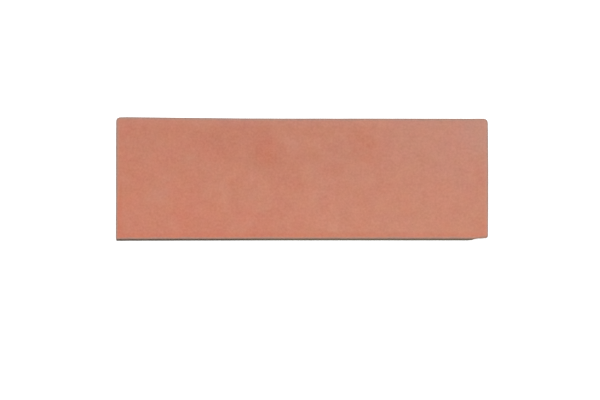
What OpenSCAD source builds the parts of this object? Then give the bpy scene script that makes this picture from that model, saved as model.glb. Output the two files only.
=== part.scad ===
// Plank wall tile, about three times as long as it is wide: one piece of pressed and
// fired clay with a rolled, slightly waved face and a waffle of keying cells behind.
//
// Frame: X runs along the tile, Y across it and Z out of the face. The origin is the
// middle of the back, whose ribs lie on Z = 0. Lengths are in millimetres.

/* [Tile] */
// Length, end to end
tile_l = 200; // [120:1:300]
// Width, at its widest end
tile_w = 66.4; // [45:0.1:120]
// Thickness, from the back ribs to the crest of the face
tile_t = 9; // [7:0.5:14]

/* [Face] */
// Radius of the rolled edge round the face
arris_r = 1; // [0.6:0.1:2]
// How far the face falls from its middle to its rolled edge
pillow_h = 0.2; // [0:0.05:0.5]
// Width of the border in which the face falls away
pillow_w = 6; // [3:0.5:12]
// Height of the slow waves left in the face by pressing
wave_h = 0.25; // [0:0.05:0.5]
// Length of the slow wave that runs along the tile
long_wave_l = 130; // [80:5:200]
// Length of the shorter wave that crosses it
cross_wave_l = 58; // [40:2:100]

/* [Corners] */
// Radius of the lower left corner, seen from the face
lower_left_r = 0.6; // [0.4:0.1:4]
// Radius of the lower right corner
lower_right_r = 2.2; // [0.4:0.1:4]
// Radius of the upper right corner
upper_right_r = 2.1; // [0.4:0.1:4]
// Radius of the upper left corner
upper_left_r = 2.4; // [0.4:0.1:4]

/* [Out of square] */
// How far the upper edge falls in, going right from the left end
upper_fall = 0.9; // [0:0.1:2]
// How far the lower edge climbs in
lower_climb = 0.25; // [0:0.05:1]
// Length over which both edges come in, more and more gently, before they run straight
flare_l = 97; // [40:1:110]
// How far the right end falls back towards its two corners
right_bow = 0.15; // [0:0.05:0.6]

/* [Back] */
// Depth of the keying cells
key_depth = 0.7; // [0.4:0.1:1.2]
// Distance from one keying cell to the next
key_pitch = 9; // [6:0.5:14]
// Width of the ribs between the cells
key_rib_w = 1.8; // [1:0.1:3]
// How far each wall of a cell leans in, from its mouth to its floor
key_draft = 0.25; // [0:0.05:0.4]
// Plain border of the back, outside the cells
key_margin = 5; // [3.5:0.5:10]
// Chamfer round the back edge
heel_c = 0.5; // [0.2:0.1:1]

/* [Spall] */
// Height to which the shell-shaped chip bites into the lower side and its rolled edge
spall_h = 9; // [2:0.1:9.5]
// How far the chip bites in at the back edge
spall_d = 1.8; // [0.5:0.1:3]
// Distance of the chip's middle from the right end
spall_x = 0; // [0:0.5:20]

/* [Hidden] */

clay = [0.78, 0.53, 0.44];

// Facets. The arcs take an even number, so that each corner of the face grid falls
// on the middle of its arc.
arc_steps = 6;
arris_steps = 5;
long_steps = 40;
short_steps = 12;
chip_fn = 96;

flare_bend = 1.5; // how sharply the two edges' flare eases off; 1 would be a straight slope
least_r = 0.3;    // sharpest corner that the rolled edge closes to
over = 0.5;       // how far a cutter reaches past what it cuts

// Headings of the two waves, in degrees from the tile's length, and where they start
long_wave_turn = 24;
long_wave_start = 200;
cross_wave_turn = 68;
cross_wave_start = 40;

corner_r = [lower_left_r, lower_right_r, upper_right_r, upper_left_r];
corner_side = [[-1, -1], [1, -1], [1, 1], [-1, 1]];
side_steps = [long_steps, short_steps, long_steps, short_steps];

// Size of the face grid, and of a ring round the tile
grid_x = long_steps + arc_steps;
grid_y = short_steps + arc_steps;
ring_n = 2 * (grid_x + grid_y);
half_arc = arc_steps / 2;

function blend(a, b, t) = a + (b - a) * t;

// ---- Form of the face -------------------------------------------------------

// Share of the pillow's fall at a distance in from an edge
function fall_off(d) = pow(max(0, 1 - d / pillow_w), 2);

function pillow(x, y) =
    pillow_h * min(1, fall_off(tile_l / 2 - abs(x)) + fall_off(tile_w / 2 - abs(y)));

// One train of waves, from -1 to 1
function swell(x, y, length, turn, start) =
    sin(start + 360 * (x * cos(turn) + y * sin(turn)) / length);

function waves(x, y) = wave_h / 4 * (
    2 + swell(x, y, long_wave_l, long_wave_turn, long_wave_start)
      + swell(x, y, cross_wave_l, cross_wave_turn, cross_wave_start));

function face_z(x, y) = tile_t - pillow(x, y) - waves(x, y);

// ---- Plan of the tile -------------------------------------------------------

// Pulls a true rectangle into the outline that the tile has after firing
function fired(p) =
    let (along = p.x / tile_l + 0.5,
         across = p.y / tile_w + 0.5,
         flare = pow(max(0, 1 - (p.x + tile_l / 2) / flare_l), flare_bend))
    [p.x - right_bow * along * pow(2 * p.y / tile_w, 2),
     p.y + (1 - flare) * (lower_climb * (1 - across) - upper_fall * across),
     p.z];

// Arc of one corner of the rectangle, moved in by inset
function corner_arc(c, inset) =
    let (r = max(corner_r[c] - inset, least_r),
         centre = [corner_side[c].x * (tile_l / 2 - inset - r),
                   corner_side[c].y * (tile_w / 2 - inset - r)])
    [for (a = [0:arc_steps])
        let (heading = 180 + 90 * (c + a / arc_steps))
        centre + r * [cos(heading), sin(heading)]];

// Ring of points round the rectangle, anticlockwise from the lower left corner
function ring(inset) =
    [for (c = [0:3])
        let (arc = corner_arc(c, inset),
             next = corner_arc((c + 1) % 4, inset)[0],
             n = side_steps[c])
        each concat(arc, [for (i = [1:n - 1]) blend(arc[arc_steps], next, i / n)])];

function flat_ring(inset, z) = [for (p = ring(inset)) fired([p.x, p.y, z])];

// Ring of the rolled edge at an angle: 0 is the top of the side, 90 the rim of the face
function arris_ring(angle) =
    [for (p = ring(arris_r * (1 - cos(angle))))
        fired([p.x, p.y, face_z(p.x, p.y) - arris_r * (1 - sin(angle))])];

// ---- Grid of the face, stretched inside its rim -----------------------------

// Place in the rim's ring of a point on the border of the grid
function rim_index(i, j) =
    j == 0 ? half_arc + i :
    i == grid_x ? half_arc + grid_x + j :
    j == grid_y ? half_arc + 2 * grid_x + grid_y - i :
    (half_arc + ring_n - j) % ring_n;

function on_rim(i, j) = i == 0 || j == 0 || i == grid_x || j == grid_y;

// Inner point of the grid, carried between the four sides of the rim
function grid_point(rim, i, j) =
    let (low = rim[rim_index(i, 0)],
         high = rim[rim_index(i, grid_y)],
         left = rim[rim_index(0, j)],
         right = rim[rim_index(grid_x, j)],
         low_left = rim[rim_index(0, 0)],
         low_right = rim[rim_index(grid_x, 0)],
         high_left = rim[rim_index(0, grid_y)],
         high_right = rim[rim_index(grid_x, grid_y)],
         u = (low.x - low_left.x) / (low_right.x - low_left.x),
         v = (left.y - low_left.y) / (high_left.y - low_left.y))
    blend(low, high, v) + blend(left, right, u)
        - blend(blend(low_left, low_right, u), blend(high_left, high_right, u), v);

function face_points() =
    let (rim = ring(arris_r))
    [for (j = [1:grid_y - 1]) for (i = [1:grid_x - 1])
        let (p = grid_point(rim, i, j))
        fired([p.x, p.y, face_z(p.x, p.y)])];

// ---- Solid ------------------------------------------------------------------

// Pressed body, skinned over rings from the heel to the rim and over the face grid
module pressed_body() {
    rings = concat(
        [flat_ring(heel_c, 0), flat_ring(0, heel_c)],
        [for (k = [0:arris_steps]) arris_ring(90 * k / arris_steps)]);
    rim_first = ring_n * (len(rings) - 1);
    face_first = ring_n * len(rings);
    back_middle = face_first + (grid_x - 1) * (grid_y - 1);

    function face_index(i, j) = on_rim(i, j)
        ? rim_first + rim_index(i, j)
        : face_first + (j - 1) * (grid_x - 1) + i - 1;

    sides = [for (k = [0:len(rings) - 2]) for (i = [0:ring_n - 1])
        let (a = ring_n * k + i, b = ring_n * k + (i + 1) % ring_n)
        each [[a, a + ring_n, b + ring_n], [a, b + ring_n, b]]];
    face = [for (j = [0:grid_y - 1]) for (i = [0:grid_x - 1])
        let (a = face_index(i, j), b = face_index(i + 1, j),
             c = face_index(i + 1, j + 1), d = face_index(i, j + 1))
        each [[a, d, c], [a, c, b]]];
    back = [for (i = [0:ring_n - 1]) [i, (i + 1) % ring_n, back_middle]];

    polyhedron(
        points = concat([for (r = rings) each r], face_points(), [[0, 0, 0]]),
        faces = concat(sides, face, back));
}

// Cutter of one keying cell, whose walls lean in from its mouth on Z = 0 to its floor
module key_cell() {
    mouth_w = key_pitch - key_rib_w;
    foot_w = mouth_w + 2 * key_draft * over / key_depth;
    floor_w = mouth_w - 2 * key_draft;
    translate([0, 0, -over])
        linear_extrude(height = key_depth + over, scale = floor_w / foot_w)
            square(foot_w, center = true);
}

// Cells of the keyed back, in whole rows and columns inside the plain border
module key_cells() {
    columns = floor((tile_l - 2 * key_margin + key_rib_w) / key_pitch);
    rows = floor((tile_w - 2 * key_margin + key_rib_w) / key_pitch);
    for (i = [0:columns - 1])
        for (j = [0:rows - 1])
            translate([(i - (columns - 1) / 2) * key_pitch, (j - (rows - 1) / 2) * key_pitch, 0])
                key_cell();
}

// Ball that scoops the chip out of the lower side, next to the right end
module spall() {
    chip_x = tile_l / 2 - spall_x;
    side_y = fired([chip_x, -tile_w / 2, 0]).y;
    clear = (pow(spall_h, 2) - pow(spall_d, 2)) / (2 * spall_d);
    translate([chip_x, side_y - clear, 0])
        sphere(r = clear + spall_d, $fn = chip_fn);
}

module tile() {
    color(clay)
        difference() {
            pressed_body();
            key_cells();
            spall();
        }
}

tile();
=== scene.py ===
"""Wall tile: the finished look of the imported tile, and the small studio that it is seen in.

The tile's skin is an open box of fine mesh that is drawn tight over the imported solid. The waffle
of the back is pressed into a plate of its own, which closes the skin underneath. Glaze ripples,
the glaze's lower edge on the sides, the wear of two corners and the broken clay of the chip are
worked into that mesh. Lengths are in metres, unless a comment says millimetres.
"""

import math

import bmesh
import bpy
from bpy.props import FloatProperty, FloatVectorProperty, IntProperty, PointerProperty
from mathutils import Color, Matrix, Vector, noise
from mathutils.bvhtree import BVHTree
from mathutils.kdtree import KDTree


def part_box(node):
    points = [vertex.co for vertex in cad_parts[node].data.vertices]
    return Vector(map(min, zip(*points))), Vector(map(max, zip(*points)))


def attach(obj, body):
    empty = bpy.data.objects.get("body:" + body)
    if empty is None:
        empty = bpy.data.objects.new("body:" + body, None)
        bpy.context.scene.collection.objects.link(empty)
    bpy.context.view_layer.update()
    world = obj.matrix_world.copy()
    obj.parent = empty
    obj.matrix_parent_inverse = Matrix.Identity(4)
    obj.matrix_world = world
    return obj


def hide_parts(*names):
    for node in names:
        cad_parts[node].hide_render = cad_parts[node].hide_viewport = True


bl_info = {
    "name": "Wall Tile",
    "version": (1, 0, 0),
    "blender": (4, 5, 0),
    "location": "3D View > Sidebar > Wall Tile",
    "description": "Builds the glazed skin of a fired clay wall tile and the studio it is seen in",
    "category": "Object",
}

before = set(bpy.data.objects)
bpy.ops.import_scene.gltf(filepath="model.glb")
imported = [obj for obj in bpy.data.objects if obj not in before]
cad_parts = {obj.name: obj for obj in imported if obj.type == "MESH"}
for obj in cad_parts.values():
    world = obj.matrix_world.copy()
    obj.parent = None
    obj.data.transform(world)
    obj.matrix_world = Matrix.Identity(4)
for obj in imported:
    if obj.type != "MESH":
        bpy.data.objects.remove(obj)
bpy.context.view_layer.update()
LOW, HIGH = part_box("tile")

MM = 0.001
ALL_AXES = {"use_axis_x": True, "use_axis_y": True, "use_axis_z": True}

# Skin before it is drawn tight: its gap to the solid, the close cells at each end of a net, and
# how far in the rings lie that carry it under the tile
FILM = 0.3 * MM
CLOSE_CELLS = 12
UNDER_INSETS = (0.9 * MM, 2.25 * MM, 3.0 * MM, 3.9 * MM)

# Level just below the rolled edge, where the tile's plan is taken, and one just over the chamfer
# round the back edge
PLAN_LEVEL = HIGH.z - 1.2 * MM
HEEL_TOP = 0.6 * MM

# Mark of a vertex on the broken face of the chip. It falls by one for each millimetre away from it.
CHIP_NEAR = 2.0

# Wear of the upper corners: its middle, the width that is worn evenly, its reach, and how far
# it moves the clay
CORNER_WEAR = [
    (Vector((LOW.x + 2.9 * MM, HIGH.y)), 0.9 * MM, 3.1 * MM, (0.0, -0.10 * MM)),
    (Vector((HIGH.x, HIGH.y)), 1.0 * MM, 3.2 * MM, (-0.13 * MM, -0.13 * MM)),
]


# ---- Settings -------------------------------------------------------------------------


class TileForm(bpy.types.PropertyGroup):
    """Sizes of the tile's skin and of the relief that is worked into it."""

    net_step: FloatProperty(
        name="Net step",
        description="Distance between the lines of the skin's mesh on the open face",
        default=0.6 * MM,
        unit="LENGTH",
    )
    edge_step: FloatProperty(
        name="Edge step",
        description="Distance between the lines of the skin's mesh along its edges",
        default=0.2 * MM,
        unit="LENGTH",
    )
    ripple_height: FloatProperty(
        name="Ripple height",
        description="Depth of the shallow ripples that the glaze leaves in the face",
        default=0.06 * MM,
        unit="LENGTH",
    )
    glaze_reach: FloatProperty(
        name="Glaze reach",
        description="How far down the sides the glaze runs, on average",
        default=1.2 * MM,
        unit="LENGTH",
    )
    glaze_thickness: FloatProperty(
        name="Glaze thickness",
        description="Step from the glaze down to the bare clay on the sides",
        default=0.04 * MM,
        unit="LENGTH",
    )
    chip_height: FloatProperty(
        name="Chip height",
        description="Height to which the chip bites into the lower side, at the right end",
        default=9.0 * MM,
        unit="LENGTH",
    )
    chip_depth: FloatProperty(
        name="Chip depth",
        description="How far the chip bites in at the back edge",
        default=1.8 * MM,
        unit="LENGTH",
    )
    key_columns: IntProperty(
        name="Key columns",
        description="Keying cells along the back",
        default=21,
    )
    key_rows: IntProperty(
        name="Key rows",
        description="Keying cells across the back",
        default=6,
    )
    key_pitch: FloatProperty(
        name="Key pitch",
        description="Distance from one keying cell to the next",
        default=9.0 * MM,
        unit="LENGTH",
    )
    key_rib: FloatProperty(
        name="Key rib",
        description="Width of the ribs between the keying cells",
        default=1.8 * MM,
        unit="LENGTH",
    )
    key_depth: FloatProperty(
        name="Key depth",
        description="Depth of the keying cells",
        default=0.7 * MM,
        unit="LENGTH",
    )
    key_draft: FloatProperty(
        name="Key draft",
        description="How far each wall of a cell leans in, from its mouth to its floor",
        default=0.25 * MM,
        unit="LENGTH",
    )


class TileLook(bpy.types.PropertyGroup):
    """Colours of the glaze and of the clay, as they are mixed on a palette."""

    glaze: FloatVectorProperty(
        name="Glaze",
        description="Salmon-pink glaze of the left half of the face",
        default=(0.781, 0.508, 0.418),
        subtype="COLOR_GAMMA",
    )
    pale_glaze: FloatVectorProperty(
        name="Pale glaze",
        description="Paler glaze of the right half and of the thinner spots",
        default=(0.780, 0.551, 0.462),
        subtype="COLOR_GAMMA",
    )
    cool_glaze: FloatVectorProperty(
        name="Cool glaze",
        description="Cooler and greyer glaze of the upper right corner",
        default=(0.785, 0.553, 0.490),
        subtype="COLOR_GAMMA",
    )
    deep_glaze: FloatVectorProperty(
        name="Deep glaze",
        description="Fuller and redder glaze where it gathers",
        default=(0.788, 0.463, 0.370),
        subtype="COLOR_GAMMA",
    )
    dull_glaze: FloatVectorProperty(
        name="Dull glaze",
        description="Darker and browner glaze that the kiln's smoke leaves",
        default=(0.732, 0.460, 0.380),
        subtype="COLOR_GAMMA",
    )
    thin_glaze: FloatVectorProperty(
        name="Thin glaze",
        description="Greyer glaze on the rolled edge, where the clay shows through",
        default=(0.710, 0.560, 0.505),
        subtype="COLOR_GAMMA",
    )
    bruised_glaze: FloatVectorProperty(
        name="Bruised glaze",
        description="Browner glaze in a narrow rim round the chip",
        default=(0.700, 0.512, 0.432),
        subtype="COLOR_GAMMA",
    )
    clay: FloatVectorProperty(
        name="Clay",
        description="Bare fired clay of the sides and the back",
        default=(0.606, 0.527, 0.428),
        subtype="COLOR_GAMMA",
    )
    # Painted shade, darker and warmer, laid on the clay towards the left end and the lower side
    painted_shade_clay: FloatVectorProperty(
        name="Painted shade clay",
        description="Darker and warmer clay of the tile's left half",
        default=(0.468, 0.375, 0.298),
        subtype="COLOR_GAMMA",
    )
    broken_clay: FloatVectorProperty(
        name="Broken clay",
        description="Clay inside the chip",
        default=(0.770, 0.620, 0.515),
        subtype="COLOR_GAMMA",
    )


class StudioSetup(bpy.types.PropertyGroup):
    """Camera and lights of the studio."""

    camera_lean: FloatProperty(
        name="Camera lean",
        description="Angle between the camera's axis and a plumb line, leaning to the lower side",
        default=math.radians(7.0),
        subtype="ANGLE",
    )
    lens: FloatProperty(
        name="Lens",
        description="Focal length of the camera in millimetres",
        default=900.0,
    )
    view_width: FloatProperty(
        name="View width",
        description="Width of the floor that the camera takes in",
        default=322.15 * MM,
        unit="LENGTH",
    )
    view_centre: FloatVectorProperty(
        name="View centre",
        description="Point of the face's level that the camera looks at",
        default=(-1.13 * MM, -12.02 * MM, 9.0 * MM),
        subtype="TRANSLATION",
        unit="LENGTH",
    )
    lamp_share: FloatProperty(
        name="Lamp share",
        description="Share of the light on the face that comes from the lamp, the rest is from the room",
        default=0.75,
        subtype="FACTOR",
    )


# ---- Skin of the tile -----------------------------------------------------------------


class Net:
    """Spacing of the mesh along one axis: close at both ends, even between them."""

    def __init__(self, low, high, near, step):
        self.low, self.high, self.near = low, high, near
        self.middle = high - low - 2 * near * CLOSE_CELLS
        self.cells = 2 * CLOSE_CELLS + math.ceil(self.middle / step)

    def place(self, share):
        """Coordinate of the line at a share of the way, counted in cells."""
        line = round(share * self.cells)
        if line <= CLOSE_CELLS:
            return self.low + line * self.near
        if line >= self.cells - CLOSE_CELLS:
            return self.high - (self.cells - line) * self.near
        middle_cells = self.cells - 2 * CLOSE_CELLS
        return self.low + self.near * CLOSE_CELLS + self.middle * (line - CLOSE_CELLS) / middle_cells


def open_box(mesh, nets):
    """Box without a floor, cut into the fine cells of the three nets."""
    bmesh.ops.create_cube(mesh, size=1.0)
    bmesh.ops.translate(mesh, verts=mesh.verts[:], vec=(0.5, 0.5, 0.5))
    floor = [face for face in mesh.faces if face.normal.z < -0.5]
    bmesh.ops.delete(mesh, geom=floor, context="FACES_ONLY")
    for axis, net in enumerate(nets):
        across = [e for e in mesh.edges if abs(e.verts[0].co[axis] - e.verts[1].co[axis]) > 0.5]
        bmesh.ops.subdivide_edges(mesh, edges=across, cuts=net.cells - 1, use_grid_fill=True)
    for vert in mesh.verts:
        vert.co = [net.place(share) for net, share in zip(nets, vert.co)]


def turn_under(mesh, nets):
    """Carries the open rim of the box inwards under the tile, one ring for each inset."""
    rim = [edge for edge in mesh.edges if edge.is_boundary]
    done = 0.0
    for inset in UNDER_INSETS:
        made = bmesh.ops.extrude_edge_only(mesh, edges=rim)["geom"]
        for vert in [g for g in made if isinstance(g, bmesh.types.BMVert)]:
            for axis in (0, 1):
                middle = (nets[axis].low + nets[axis].high) / 2
                half = (nets[axis].high - nets[axis].low) / 2
                vert.co[axis] = middle + (vert.co[axis] - middle) * (half - inset) / (half - done)
        rim = [g for g in made if isinstance(g, bmesh.types.BMEdge) and g.is_boundary]
        done = inset


def solid_surface():
    """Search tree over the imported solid's surface."""
    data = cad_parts["tile"].data
    return BVHTree.FromPolygons([v.co for v in data.vertices], [p.vertices for p in data.polygons])


def swell(point, length, seed):
    """Smooth noise from 0 to 1, with waves of about the given length."""
    return 0.5 + 0.5 * noise.noise(point / length + Vector((seed, 2 * seed, 3 * seed)))


def step_up(value, low, high):
    """Smooth rise from 0 at low to 1 at high."""
    share = min(max((value - low) / (high - low), 0.0), 1.0)
    return share * share * (3 - 2 * share)


def glaze_line(point, form):
    """Height of the glaze's lower edge on the side, with a run here and there."""
    sag = form.glaze_reach * (0.6 + 0.8 * swell(point, 14 * MM, 3.1))
    run = 1.6 * MM * step_up(swell(point, 5 * MM, 7.7), 0.68, 0.9)
    return HIGH.z - sag - run


def depth_in_box(point):
    """How far a point lies inside the solid's box in plan, and less than nothing outside it."""
    return min(point.x - LOW.x, HIGH.x - point.x, point.y - LOW.y, HIGH.y - point.y)


def is_on_side(point):
    """Whether a point of the open box, before it is drawn tight, belongs to one of its four walls."""
    return depth_in_box(point) < 0 and LOW.z < point.z < HIGH.z


def settle(mesh, verts, surface, rounds):
    """Lets vertices slip along the solid's surface until their cells are even."""
    for _ in range(rounds):
        bmesh.ops.smooth_vert(mesh, verts=verts, factor=0.5, **ALL_AXES)
        for vert in verts:
            vert.co = surface.find_nearest(vert.co)[0]


def draw_tight(mesh, surface, film):
    """Draws the skin onto the solid, and evens out its cells along the edges and at the heel."""
    edge_band, heel_band = 2.5 * MM, 1.2 * MM
    for vert in mesh.verts:
        vert[film] = vert.co
        vert.co = surface.find_nearest(vert.co)[0]
    loose = [vert for vert in mesh.verts if not vert.is_boundary]
    settle(mesh, [v for v in loose if depth_in_box(v[film]) <= edge_band], surface, rounds=6)
    settle(mesh, [v for v in loose if v.co.z < LOW.z + heel_band], surface, rounds=16)


def wear_corners(mesh):
    """Rubs the two upper corners of the tile a little rounder than they were pressed."""
    for middle, width, reach, push in CORNER_WEAR:
        for vert in mesh.verts:
            share = 1 - step_up((vert.co.xy - middle).length, width, reach)
            vert.co.x += push[0] * share
            vert.co.y += push[1] * share


def measure_rim(mesh, film, rim):
    """Notes how many millimetres each vertex lies inside the tile's plan."""
    walls = [vert for vert in mesh.verts if is_on_side(vert[film])]
    plan_row = min((vert[film].z for vert in walls), key=lambda z: abs(z - PLAN_LEVEL))
    outline = [vert.co for vert in walls if abs(vert[film].z - plan_row) < 0.01 * MM]
    tree = KDTree(len(outline))
    for index, point in enumerate(outline):
        tree.insert((point.x, point.y, 0), index)
    tree.balance()
    for vert in mesh.verts:
        vert[rim] = tree.find((vert.co.x, vert.co.y, 0))[2] / MM


def measure_chip(verts, form, surface, chip):
    """Notes how near each vertex lies to the ball that has scooped out the chip."""
    clear = (form.chip_height ** 2 - form.chip_depth ** 2) / (2 * form.chip_depth)
    before = Vector((HIGH.x / 2, 2 * LOW.y, HIGH.z / 2))
    side = surface.ray_cast(before, Vector((0, 1, 0)))[0]
    centre = Vector((HIGH.x, side.y - clear, LOW.z))
    for vert in verts:
        beyond = (vert.co - centre).length - clear - form.chip_depth
        vert[chip] = min(max(CHIP_NEAR - beyond / MM, 0.0), CHIP_NEAR)


def soften(mesh, film, rim):
    """Rounds off the flats that the solid's facets leave in the face and in the rolled edge."""
    face_rounds, edge_rounds = 8, 4
    # The face begins and the edge's band ends at these distances inside the plan, in millimetres
    face_start, band_end = 1.6, 3.0
    band_foot = HIGH.z - 2.4 * MM
    face = [vert for vert in mesh.verts if vert[film].z > HIGH.z and vert[rim] > face_start]
    edge = [vert for vert in mesh.verts if vert[film].z > band_foot and vert[rim] < band_end]
    for _ in range(face_rounds):
        bmesh.ops.smooth_vert(mesh, verts=face, factor=0.5, use_axis_z=True)
    for _ in range(edge_rounds):
        bmesh.ops.smooth_vert(mesh, verts=edge, factor=0.5, **ALL_AXES)


def bite(point, nearness):
    """How far the chip's rough bites straight in from the side, most of all in its left half."""
    fuller = step_up(point.x, HIGH.x - 9 * MM, HIGH.x - 7.5 * MM)
    spared = step_up(point.x, HIGH.x - 5.5 * MM, HIGH.x - 3 * MM)
    share = step_up(nearness, CHIP_NEAR - 0.7, CHIP_NEAR - 0.05)
    share *= 1 + 0.4 * fuller
    share -= share * 0.55 * spared
    rough = 0.2 * swell(point, 1.5 * MM, 4.4) + 0.07 * swell(point, 0.6 * MM, 8.1)
    return share * (0.09 + rough) * MM


def work_relief(mesh, form, surface, layers):
    """Sinks the glaze's ripples, the bare clay below it and the rough of the chip into the skin."""
    mesh.normal_update()
    for vert in mesh.verts:
        point = vert.co.copy()
        outwards = vert.normal.copy()
        if outwards.dot(surface.find_nearest(point)[1]) < 0:
            outwards.negate()
        if point.z < HEEL_TOP and outwards.z < -0.9:
            continue
        pool = swell(point, 11 * MM, 1.3)
        line = glaze_line(point, form)
        covered = step_up(point.z, line - 0.35 * MM, line + 0.1 * MM)
        chip = step_up(vert[layers["chip"]], CHIP_NEAR - 0.12, CHIP_NEAR - 0.02)
        vert[layers["pool"]] = pool
        vert[layers["glaze"]] = min(max(0.5 + (point.z - line) / (1.4 * MM), 0.0), 1.0)
        ripple = form.ripple_height * (0.7 * (1 - pool) + 0.3 * swell(point, 4 * MM, 5.9))
        bare = (1 - covered) * (form.glaze_thickness + 0.03 * MM * swell(point, 1.6 * MM, 9.2))
        vert.co = point - outwards * (ripple * (1 - chip) + bare * (1 - chip))
        vert.co.y += bite(point, vert[layers["chip"]])


def keep_inside(mesh, surface):
    """Draws back to the solid's surface what the smoothing has left a hair outside it."""
    for vert in mesh.verts:
        near, outwards = surface.find_nearest(vert.co)[:2]
        if (vert.co - near).dot(outwards) > 0:
            vert.co = near


def shape_skin(mesh, form):
    """Draws the box tight over the solid, then works in the glaze, the ripples and the chip."""
    surface = solid_surface()
    film = mesh.verts.layers.float_vector.new("film")
    draw_tight(mesh, surface, film)
    wear_corners(mesh)
    layers = {name: mesh.verts.layers.float.new(name) for name in ("rim", "glaze", "chip", "pool")}
    measure_rim(mesh, film, layers["rim"])
    measure_chip(mesh.verts, form, surface, layers["chip"])
    # The chip's scoop crowds the cells round it, so they spread out again over nearly two millimetres
    crowded = [v for v in mesh.verts if v[layers["chip"]] > 0.2 and not v.is_boundary]
    settle(mesh, crowded, surface, rounds=60)
    measure_chip(crowded, form, surface, layers["chip"])
    soften(mesh, film, layers["rim"])
    work_relief(mesh, form, surface, layers)
    keep_inside(mesh, surface)
    mesh.verts.layers.float_vector.remove(film)


def press_waffle(mesh, form):
    """Plate of the keyed back: a grid whose cells are inset, pushed in and softened."""
    columns, rows = form.key_columns, form.key_rows
    plate = bmesh.ops.create_grid(mesh, x_segments=columns, y_segments=rows, size=0.5)["verts"]
    bmesh.ops.scale(mesh, vec=(columns * form.key_pitch, rows * form.key_pitch, 1.0), verts=plate)
    # A dict keeps the order of its keys, so every build numbers the vertices alike
    cells = list(dict.fromkeys(face for vert in plate for face in vert.link_faces))
    bmesh.ops.inset_individual(mesh, faces=cells, thickness=form.key_rib / 2, use_even_offset=True)
    mouths = dict.fromkeys(edge for cell in cells for edge in cell.edges)
    pushed = bmesh.ops.extrude_discrete_faces(mesh, faces=cells)["faces"]
    mouth = form.key_pitch - form.key_rib
    draft = 1 - 2 * form.key_draft / mouth
    for cell in pushed:
        centre = cell.calc_center_median()
        for vert in cell.verts:
            vert.co = centre + (vert.co - centre) * draft + Vector((0, 0, form.key_depth))
    walls = dict.fromkeys(e for cell in pushed for vert in cell.verts for e in vert.link_edges)
    softening = 0.22 * MM
    bmesh.ops.bevel(
        mesh,
        geom=[edge for edge in mouths | walls if edge.is_valid],
        offset=softening,
        offset_type="OFFSET",
        segments=2,
        profile=0.5,
        affect="EDGES",
        material=-1,
        clamp_overlap=True,
    )


def close_back(mesh):
    """Joins the plate to the ring that the skin ends in underneath."""
    bmesh.ops.triangle_fill(
        mesh,
        use_beauty=True,
        edges=[edge for edge in mesh.edges if edge.is_boundary],
        normal=(0, 0, -1),
    )
    bmesh.ops.recalc_face_normals(mesh, faces=mesh.faces[:])


def finish_mesh(mesh, name):
    """Object with the mesh, shaded smooth between its creases."""
    crease = math.radians(34)
    for face in mesh.faces:
        face.smooth = True
    for edge in mesh.edges:
        edge.smooth = edge.calc_face_angle(0.0) < crease
    data = bpy.data.meshes.new(name)
    mesh.to_mesh(data)
    mesh.free()
    piece = bpy.data.objects.new(name, data)
    bpy.context.scene.collection.objects.link(piece)
    return piece


# ---- Node helpers ---------------------------------------------------------------------


def add(tree, kind, feeds=None, **settings):
    """New node whose inputs take plain values or the outputs of other nodes."""
    node = tree.nodes.new(kind)
    for name, value in settings.items():
        setattr(node, name, value)
    for socket, feed in (feeds or {}).items():
        if isinstance(feed, bpy.types.NodeSocket):
            tree.links.new(feed, node.inputs[socket])
        else:
            node.inputs[socket].default_value = feed
    return node


def calc(tree, operation, *terms):
    """Result of a Math node on one, two or three terms."""
    feeds = dict(enumerate(terms))
    return add(tree, "ShaderNodeMath", feeds, operation=operation).outputs[0]


def ramp(tree, value, low, high, to_low=0.0, to_high=1.0):
    """Smooth rise of a value from low to high."""
    feeds = {"Value": value, "From Min": low, "From Max": high, "To Min": to_low, "To Max": to_high}
    return add(tree, "ShaderNodeMapRange", feeds, interpolation_type="SMOOTHSTEP").outputs["Result"]


def blend(tree, share, low, high):
    """Number between two others: inputs 2 and 3 of a Mix node are its two numbers."""
    return add(tree, "ShaderNodeMix", {"Factor": share, 2: low, 3: high}).outputs[0]


def tint(tree, mask, under, over):
    """Colour over another, where the mask lets it: inputs 6 and 7 of a Mix node are its colours."""
    feeds = {"Factor": mask, 6: under, 7: over}
    return add(tree, "ShaderNodeMix", feeds, data_type="RGBA").outputs[2]


def shade(tree, colour, factor):
    """Colour made lighter or darker by a factor that changes over the surface."""
    return add(tree, "ShaderNodeVectorMath", {0: colour, "Scale": factor}, operation="SCALE").outputs[0]


def nudge(tree, colour, amount, towards):
    """Colour moved by an amount, up or down, along a fixed mix of red, green and blue."""
    feeds = {0: amount, 1: towards, 2: colour}
    return add(tree, "ShaderNodeVectorMath", feeds, operation="MULTIPLY_ADD").outputs[0]


def new_group(name, inputs, outputs):
    """Empty node group with named sockets, and the nodes at its two ends."""
    tree = bpy.data.node_groups.new(name, "ShaderNodeTree")
    for socket, (kind, default) in inputs.items():
        made = tree.interface.new_socket(name=socket, in_out="INPUT", socket_type=kind)
        if default is not None:
            made.default_value = default
    for socket, kind in outputs.items():
        tree.interface.new_socket(name=socket, in_out="OUTPUT", socket_type=kind)
    return tree, tree.nodes.new("NodeGroupInput").outputs, tree.nodes.new("NodeGroupOutput").inputs


def use(tree, group, feeds):
    """Outputs of a node group placed in a tree."""
    return add(tree, "ShaderNodeGroup", feeds, node_tree=group).outputs


def paint(colour):
    """Palette colour as the linear colour that a shader takes."""
    return (*Color(colour).from_srgb_to_scene_linear(), 1.0)


FLOAT, VECTOR, COLOUR = "NodeSocketFloat", "NodeSocketVector", "NodeSocketColor"


# ---- Shared effects -------------------------------------------------------------------


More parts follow.
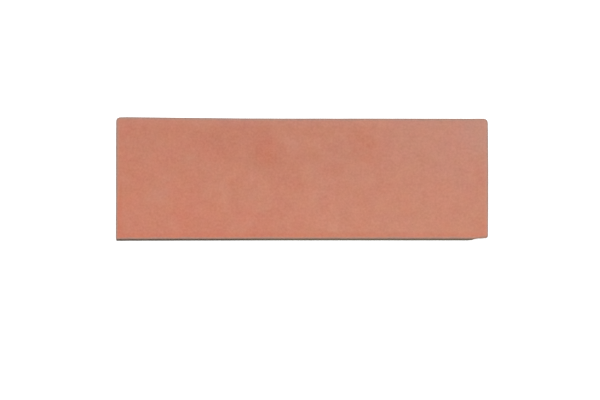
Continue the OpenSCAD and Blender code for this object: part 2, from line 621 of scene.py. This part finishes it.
def grain_group():
    """Cloudy grain round zero, with waves of a given length in millimetres."""
    tree, given, result = new_group(
        "Grain",
        {
            "Vector": (VECTOR, None),
            "Length": (FLOAT, 2.0),
            "Detail": (FLOAT, 4.0),
            "Roughness": (FLOAT, 0.55),
            "Seed": (FLOAT, 0.0),
        },
        {"Value": FLOAT},
    )
    moved = add(tree, "ShaderNodeVectorMath", {0: given["Vector"], 1: given["Seed"]}, operation="ADD")
    scale = calc(tree, "DIVIDE", 1 / MM, given["Length"])
    feeds = {"Detail": given["Detail"], "Roughness": given["Roughness"]}
    cloud = add(tree, "ShaderNodeTexNoise", {"Vector": moved.outputs[0], "Scale": scale, **feeds})
    tree.links.new(calc(tree, "SUBTRACT", cloud.outputs["Fac"], 0.5), result["Value"])
    return tree


def speck_group():
    """Scattered round specks: pinholes in a glaze, pores and grog in a clay."""
    tree, given, result = new_group(
        "Specks",
        {"Vector": (VECTOR, None), "Spacing": (FLOAT, 3.0), "Size": (FLOAT, 0.3), "Share": (FLOAT, 0.5)},
        {"Mask": FLOAT},
    )
    scale = calc(tree, "DIVIDE", 1 / MM, given["Spacing"])
    cells = add(tree, "ShaderNodeTexVoronoi", {"Vector": given["Vector"], "Scale": scale})
    lot = add(tree, "ShaderNodeSeparateColor", {"Color": cells.outputs["Color"]})
    drawn = calc(tree, "LESS_THAN", lot.outputs["Red"], given["Share"])
    reach = calc(tree, "MULTIPLY", given["Size"], calc(tree, "ADD", lot.outputs["Green"], 0.4))
    near = ramp(tree, calc(tree, "DIVIDE", cells.outputs["Distance"], reach), 1.0, 0.35)
    tree.links.new(calc(tree, "MULTIPLY", drawn, near), result["Mask"])
    return tree


def patch_group():
    """Soft-edged patch round a centre, as a flame or a thick pour leaves."""
    tree, given, result = new_group(
        "Soft Patch",
        {
            "Vector": (VECTOR, None),
            "Centre": (VECTOR, (0, 0, 0)),
            "Radius": (FLOAT, 10.0),
            "Wander": (FLOAT, 0.0),
        },
        {"Mask": FLOAT},
    )
    feeds = {0: given["Vector"], 1: given["Centre"]}
    apart = add(tree, "ShaderNodeVectorMath", feeds, operation="DISTANCE")
    share = calc(tree, "DIVIDE", apart.outputs["Value"], calc(tree, "MULTIPLY", given["Radius"], MM))
    share = calc(tree, "ADD", share, given["Wander"])
    tree.links.new(ramp(tree, share, 1.0, 0.0), result["Mask"])
    return tree


# ---- Finishes -------------------------------------------------------------------------

# Firing clouds of the face: centre and radius in millimetres, and how strongly each shows
DULL_CLOUDS = [
    ((-40, 26), 30, 0.27),
    ((-14, 8), 24, 0.30),
    ((18, 12), 19, 0.22),
]
DEEP_CLOUDS = [
    ((-21, 15), 10, 0.38),
    ((34, 17), 13, 0.42),
    ((-3, -4), 6, 0.25),
    ((-62, -32), 52, 0.16),
    ((-24, -28), 17, 0.30),
    ((-92, 26), 10, 0.18),
]
COOL_CLOUDS = [
    ((92, 32), 36, 0.85),
    ((60, 26), 30, 0.42),
    ((80, 4), 22, 0.28),
]
THIN_CLOUDS = [
    ((102, 30), 24, 0.42),
]

# Ways in which the salmon glaze drifts, in red, green and blue: a breath of white, of red and of amber
CHALK = (1.0, 0.62, 0.50)
BLUSH = (0.075, 0.0, 0.0)
WARMTH = (0.0, 0.025, -0.020)

# Palette colours of the painted shade in the pinholes of the glaze and in the pores of the clay, and of
# the grog in the clay
PINHOLE_SHADE = (0.55, 0.33, 0.26)
GROG = (0.80, 0.72, 0.64)
PORE_SHADE = (0.42, 0.33, 0.27)


def matt_glaze_group(look, grain, specks, patch):
    """Matt salmon-pink glaze: its colour, its roughness and the height of its fine texture."""
    tree, given, result = new_group(
        "Matt Glaze",
        {"Vector": (VECTOR, None), "Rim": (FLOAT, 10.0), "Pool": (FLOAT, 0.5)},
        {"Colour": COLOUR, "Roughness": FLOAT, "Height": FLOAT},
    )
    vector = given["Vector"]

    def grains(length, detail, seed, roughness=0.55):
        feeds = {"Vector": vector, "Length": length, "Detail": detail}
        return use(tree, grain, {**feeds, "Roughness": roughness, "Seed": seed})["Value"]

    drift = grains(45.0, 2.0, 0.1)
    depth = grains(15.0, 5.0, 0.3)
    blush = grains(11.0, 4.0, 0.5)
    warmth = grains(9.0, 3.0, 0.6)
    mottle = grains(6.0, 5.0, 0.7, 0.7)
    fine = grains(1.3, 2.0, 0.9)
    place = add(tree, "ShaderNodeSeparateXYZ", {0: vector})

    along = calc(tree, "MULTIPLY_ADD", drift, 60 * MM, place.outputs["X"])
    paler = ramp(tree, along, -70 * MM, 95 * MM, 0.0, 0.45)
    colour = tint(tree, paler, paint(look.glaze), paint(look.pale_glaze))
    kinds = (
        (DULL_CLOUDS, look.dull_glaze),
        (DEEP_CLOUDS, look.deep_glaze),
        (COOL_CLOUDS, look.cool_glaze),
        (THIN_CLOUDS, look.thin_glaze),
    )
    for clouds, over in kinds:
        for (x, y), radius, strength in clouds:
            feeds = {"Vector": vector, "Centre": (x * MM, y * MM, HIGH.z), "Radius": radius}
            feeds["Wander"] = calc(tree, "MULTIPLY", depth, 1.2)
            mask = calc(tree, "MULTIPLY", use(tree, patch, feeds)["Mask"], strength)
            colour = tint(tree, mask, colour, paint(over))
    colour = tint(tree, ramp(tree, depth, 0.0, -0.3, 0.0, 0.35), colour, paint(look.deep_glaze))
    colour = tint(tree, ramp(tree, depth, 0.0, 0.3, 0.0, 0.55), colour, paint(look.pale_glaze))

    # The glaze has run to the lower rim and gathers just inside it, and is thin along the upper one
    run = calc(tree, "MULTIPLY_ADD", place.outputs["X"], 0.12, place.outputs["Y"])
    lower = ramp(tree, run, 0.0, -30 * MM)
    gathered = calc(tree, "MULTIPLY", lower, ramp(tree, given["Rim"], 4.5, 2.2))
    pooled = ramp(tree, given["Pool"], 0.55, 1.0, 0.0, 0.10)
    gathered = calc(tree, "MULTIPLY_ADD", gathered, 0.45, pooled)
    upper = ramp(tree, run, 5 * MM, 30 * MM)
    thinned = calc(tree, "MULTIPLY", upper, ramp(tree, given["Rim"], 6.0, 2.5))
    colour = tint(tree, gathered, colour, paint(look.deep_glaze))
    colour = tint(tree, calc(tree, "MULTIPLY", thinned, 0.35), colour, paint(look.cool_glaze))
    edge = calc(tree, "MULTIPLY_ADD", mottle, 1.2, given["Rim"])
    reach = calc(tree, "MULTIPLY_ADD", lower, -0.6, 2.0)
    # The rolled edge of the right end has kept more of its glaze, and painted light makes that end
    # lighter
    thin = ramp(tree, edge, reach, 0.4, 0.0, 0.95)
    thin = calc(tree, "MULTIPLY", thin, ramp(tree, place.outputs["X"], 92 * MM, 98 * MM, 1.0, 0.65))
    colour = tint(tree, thin, colour, paint(look.thin_glaze))
    # Painted light on the right end, whose rolled edge tilts away from the lamp
    colour = shade(tree, colour, ramp(tree, place.outputs["X"], 97 * MM, 99 * MM, 1.0, 1.06))

    # The face is a little lighter towards its lower side, and its glaze drifts
    colour = shade(tree, colour, ramp(tree, place.outputs["Y"], HIGH.y, LOW.y, 0.965, 1.03))
    colour = nudge(tree, colour, blush, BLUSH)
    colour = nudge(tree, colour, warmth, WARMTH)
    scumble = calc(tree, "MULTIPLY", mottle, 0.12)
    scumble = calc(tree, "MULTIPLY_ADD", fine, 0.14, scumble)
    colour = nudge(tree, colour, scumble, CHALK)

    pinholes = use(tree, specks, {"Vector": vector, "Spacing": 4.2, "Size": 0.05, "Share": 0.22})["Mask"]
    # Painted shade: the pinholes are darkened with a deeper copy of the glaze
    colour = tint(tree, calc(tree, "MULTIPLY", pinholes, 0.45), colour, paint(PINHOLE_SHADE))

    rough = calc(tree, "MULTIPLY_ADD", mottle, 0.15, 0.78)
    height = calc(tree, "MULTIPLY", fine, 0.03)
    height = calc(tree, "MULTIPLY_ADD", mottle, 0.05, height)
    height = calc(tree, "MULTIPLY_ADD", pinholes, -0.05, height)
    tree.links.new(colour, result["Colour"])
    tree.links.new(rough, result["Roughness"])
    tree.links.new(height, result["Height"])
    return tree


def fired_clay_group(look, grain, specks):
    """Bare fired clay with grog and a little dust, smooth or freshly broken, with painted shade in its
    pores and towards its left end and lower side.
    """
    tree, given, result = new_group(
        "Fired Clay",
        {"Vector": (VECTOR, None), "Broken": (FLOAT, 0.0)},
        {"Colour": COLOUR, "Roughness": FLOAT, "Height": FLOAT},
    )
    vector, broken = given["Vector"], given["Broken"]

    def grains(length, detail, roughness):
        feeds = {"Vector": vector, "Length": length, "Detail": detail, "Roughness": roughness}
        return use(tree, grain, feeds)["Value"]

    def dots(spacing, size, share):
        feeds = {"Vector": vector, "Spacing": spacing, "Size": size, "Share": share}
        return use(tree, specks, feeds)["Mask"]

    cloud = grains(9.0, 8.0, 0.65)
    fine = grains(0.8, 5.0, 0.7)
    pores = dots(1.5, 0.2, 0.3)
    grog = dots(1.1, 0.3, 0.25)

    place = add(tree, "ShaderNodeSeparateXYZ", {0: vector})
    # Painted shade darkens the clay towards the left end, and most of all on the lower side
    painted_shade = calc(tree, "MULTIPLY_ADD", cloud, 30 * MM, place.outputs["X"])
    painted_shade = ramp(tree, painted_shade, 0.0, -50 * MM)
    painted_shade = calc(tree, "MULTIPLY", painted_shade, ramp(tree, place.outputs["Y"], 25 * MM, -25 * MM, 0.3, 1.0))
    colour = tint(tree, painted_shade, paint(look.clay), paint(look.painted_shade_clay))
    colour = tint(tree, broken, colour, paint(look.broken_clay))
    lift = calc(tree, "ADD", 1.0, calc(tree, "MULTIPLY", cloud, 0.35))
    lift = calc(tree, "ADD", lift, calc(tree, "MULTIPLY", fine, 0.22))
    colour = shade(tree, colour, lift)
    colour = tint(tree, calc(tree, "MULTIPLY", grog, 0.35), colour, paint(GROG))
    # Painted shade: the pores are darkened
    colour = tint(tree, calc(tree, "MULTIPLY", pores, 0.55), colour, paint(PORE_SHADE))

    rough = calc(tree, "ADD", 0.88, calc(tree, "MULTIPLY", cloud, 0.12))
    depth = calc(tree, "ADD", 0.06, calc(tree, "MULTIPLY", broken, 0.40))
    height = calc(tree, "MULTIPLY", fine, depth)
    height = calc(tree, "SUBTRACT", height, calc(tree, "MULTIPLY", pores, 0.08))
    tree.links.new(colour, result["Colour"])
    tree.links.new(rough, result["Roughness"])
    tree.links.new(height, result["Height"])
    return tree


def tile_material(look):
    """Glaze over clay: the glaze ends in a wandering line on the sides and at the chip."""
    grain, specks, patch = grain_group(), speck_group(), patch_group()
    material = bpy.data.materials.new("glazed_clay")
    material.use_nodes = True
    tree = material.node_tree
    vector = add(tree, "ShaderNodeTexCoord").outputs["Object"]

    def surface(name):
        return add(tree, "ShaderNodeAttribute", attribute_name=name).outputs["Fac"]

    wander = use(tree, grain, {"Vector": vector, "Length": 2.0, "Detail": 4.0})["Value"]
    nearness = calc(tree, "MULTIPLY_ADD", wander, -0.2, surface("chip"))
    broken = ramp(tree, nearness, CHIP_NEAR - 0.18, CHIP_NEAR - 0.08)
    reach = calc(tree, "ADD", surface("glaze"), calc(tree, "MULTIPLY", wander, 0.35))
    covered = ramp(tree, reach, 0.46, 0.56)
    covered = calc(tree, "MULTIPLY", covered, calc(tree, "SUBTRACT", 1.0, broken))

    glaze_feeds = {"Vector": vector, "Rim": surface("rim"), "Pool": surface("pool")}
    glaze = use(tree, matt_glaze_group(look, grain, specks, patch), glaze_feeds)
    clay = use(tree, fired_clay_group(look, grain, specks), {"Vector": vector, "Broken": broken})
    bruised = calc(tree, "MULTIPLY", ramp(tree, nearness, CHIP_NEAR - 1.8, CHIP_NEAR - 0.9), 0.9)
    glazed = tint(tree, bruised, glaze["Colour"], paint(look.bruised_glaze))
    colour = tint(tree, covered, clay["Colour"], glazed)

    def between(name):
        return blend(tree, covered, clay[name], glaze[name])

    bump = add(tree, "ShaderNodeBump", {"Height": between("Height"), "Distance": MM, "Strength": 1.0})
    shader = tree.nodes["Principled BSDF"]
    shader.inputs["Specular IOR Level"].default_value = 0.2
    tree.links.new(colour, shader.inputs["Base Color"])
    tree.links.new(between("Roughness"), shader.inputs["Roughness"])
    tree.links.new(bump.outputs["Normal"], shader.inputs["Normal"])
    return material


# ---- Stage ----------------------------------------------------------------------------


def seen_straight(tree):
    """One for what the camera sees, straight or in a mirror, and none for light on its way."""
    path = add(tree, "ShaderNodeLightPath")
    mirrored = calc(tree, "MAXIMUM", path.outputs["Is Glossy Ray"], path.outputs["Is Transmission Ray"])
    return calc(tree, "MAXIMUM", path.outputs["Is Camera Ray"], mirrored)


def floor_material():
    """Pale floor that is white where the light reaches it and keeps the tile's shadow."""
    material = bpy.data.materials.new("pale_floor")
    material.use_nodes = True
    tree = material.node_tree
    tree.nodes.clear()
    matt = add(tree, "ShaderNodeBsdfDiffuse", {"Color": (0.85, 0.85, 0.85, 1)})
    lift = add(tree, "ShaderNodeEmission", {"Color": (1, 1, 1, 1), "Strength": 0.68})
    bright = add(tree, "ShaderNodeAddShader", {0: matt.outputs[0], 1: lift.outputs[0]})
    dim = add(tree, "ShaderNodeBsdfDiffuse", {"Color": (0.3, 0.3, 0.3, 1)})
    feeds = {0: seen_straight(tree), 1: dim.outputs[0], 2: bright.outputs[0]}
    mixed = add(tree, "ShaderNodeMixShader", feeds)
    add(tree, "ShaderNodeOutputMaterial", {"Surface": mixed.outputs[0]})
    return material


def light_room(strength):
    """White room round the stage, whose light on the tile is soft and weak."""
    world = bpy.data.worlds.new("white_room")
    world.use_nodes = True
    tree = world.node_tree
    tree.nodes.clear()
    level = blend(tree, seen_straight(tree), strength, 1.0)
    room = add(tree, "ShaderNodeBackground", {"Color": (1, 1, 1, 1), "Strength": level})
    add(tree, "ShaderNodeOutputWorld", {"Surface": room.outputs[0]})
    bpy.context.scene.world = world


def hang_lamp(share):
    """Wide soft lamp straight over the tile, which leaves its sides in shade."""
    height, width, depth = 1.6, 1.2, 0.5
    spread = 1.09  # makes up for what falls short from the lamp's outer parts
    data = bpy.data.lights.new("softbox", "AREA")
    data.shape = "RECTANGLE"
    data.size, data.size_y = width, depth
    data.energy = share * math.pi * math.pi * height ** 2 * spread
    lamp = bpy.data.objects.new("softbox", data)
    lamp.location = (0, 0, height)
    bpy.context.scene.collection.objects.link(lamp)


def set_camera(studio):
    """Camera that looks down on the face, leaning a little to the tile's lower side."""
    data = bpy.data.cameras.new("camera")
    data.lens = studio.lens
    away = studio.view_width * data.lens / data.sensor_width
    lean = studio.camera_lean
    camera = bpy.data.objects.new("camera", data)
    camera.location = Vector(studio.view_centre) + away * Vector((0, -math.sin(lean), math.cos(lean)))
    camera.rotation_euler = (lean, 0, 0)
    data.clip_end = 10 * away
    bpy.context.scene.collection.objects.link(camera)
    bpy.context.scene.camera = camera


# ---- Operators and panel --------------------------------------------------------------


class WALLTILE_OT_make_tile(bpy.types.Operator):
    """Builds the tile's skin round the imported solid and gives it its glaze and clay"""

    bl_idname = "wall_tile.make_tile"
    bl_label = "Make Tile"

    def execute(self, context):
        form, look = context.scene.tile_form, context.scene.tile_look
        steps = (form.edge_step, form.net_step)
        nets = [Net(low - FILM, high + FILM, *steps) for low, high in zip(LOW, HIGH)]
        mesh = bmesh.new()
        open_box(mesh, nets)
        turn_under(mesh, nets)
        shape_skin(mesh, form)
        press_waffle(mesh, form)
        close_back(mesh)
        piece = finish_mesh(mesh, "glazed_tile")
        piece.data.materials.append(tile_material(look))
        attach(piece, "root")
        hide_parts("tile")
        return {"FINISHED"}


class WALLTILE_OT_set_stage(bpy.types.Operator):
    """Lays the floor, hangs the lamp, lights the room and sets the camera"""

    bl_idname = "wall_tile.set_stage"
    bl_label = "Set Stage"

    def execute(self, context):
        studio = context.scene.tile_studio
        context.scene.view_settings.view_transform = "Standard"
        mesh = bmesh.new()
        bmesh.ops.create_grid(mesh, x_segments=1, y_segments=1, size=20.0)
        bmesh.ops.translate(mesh, verts=mesh.verts[:], vec=(0, 0, LOW.z))
        floor = finish_mesh(mesh, "floor")
        floor.data.materials.append(floor_material())
        light_room(1 - studio.lamp_share)
        hang_lamp(studio.lamp_share)
        set_camera(studio)
        return {"FINISHED"}


class WALLTILE_PT_panel(bpy.types.Panel):
    """Sizes and colours of the tile, and the steps that build it"""

    bl_idname = "WALLTILE_PT_panel"
    bl_label = "Wall Tile"
    bl_space_type = "VIEW_3D"
    bl_region_type = "UI"
    bl_category = "Wall Tile"

    def draw(self, context):
        for settings in (context.scene.tile_form, context.scene.tile_look, context.scene.tile_studio):
            box = self.layout.box()
            for name in settings.__annotations__:
                box.prop(settings, name)
        self.layout.operator(WALLTILE_OT_make_tile.bl_idname)
        self.layout.operator(WALLTILE_OT_set_stage.bl_idname)


CLASSES = (
    TileForm,
    TileLook,
    StudioSetup,
    WALLTILE_OT_make_tile,
    WALLTILE_OT_set_stage,
    WALLTILE_PT_panel,
)


def register():
    for cls in CLASSES:
        bpy.utils.register_class(cls)
    bpy.types.Scene.tile_form = PointerProperty(type=TileForm)
    bpy.types.Scene.tile_look = PointerProperty(type=TileLook)
    bpy.types.Scene.tile_studio = PointerProperty(type=StudioSetup)


def unregister():
    del bpy.types.Scene.tile_studio
    del bpy.types.Scene.tile_look
    del bpy.types.Scene.tile_form
    for cls in reversed(CLASSES):
        bpy.utils.unregister_class(cls)


def main():
    register()
    bpy.ops.wall_tile.make_tile()
    bpy.ops.wall_tile.set_stage()


if __name__ == "__main__":
    main()
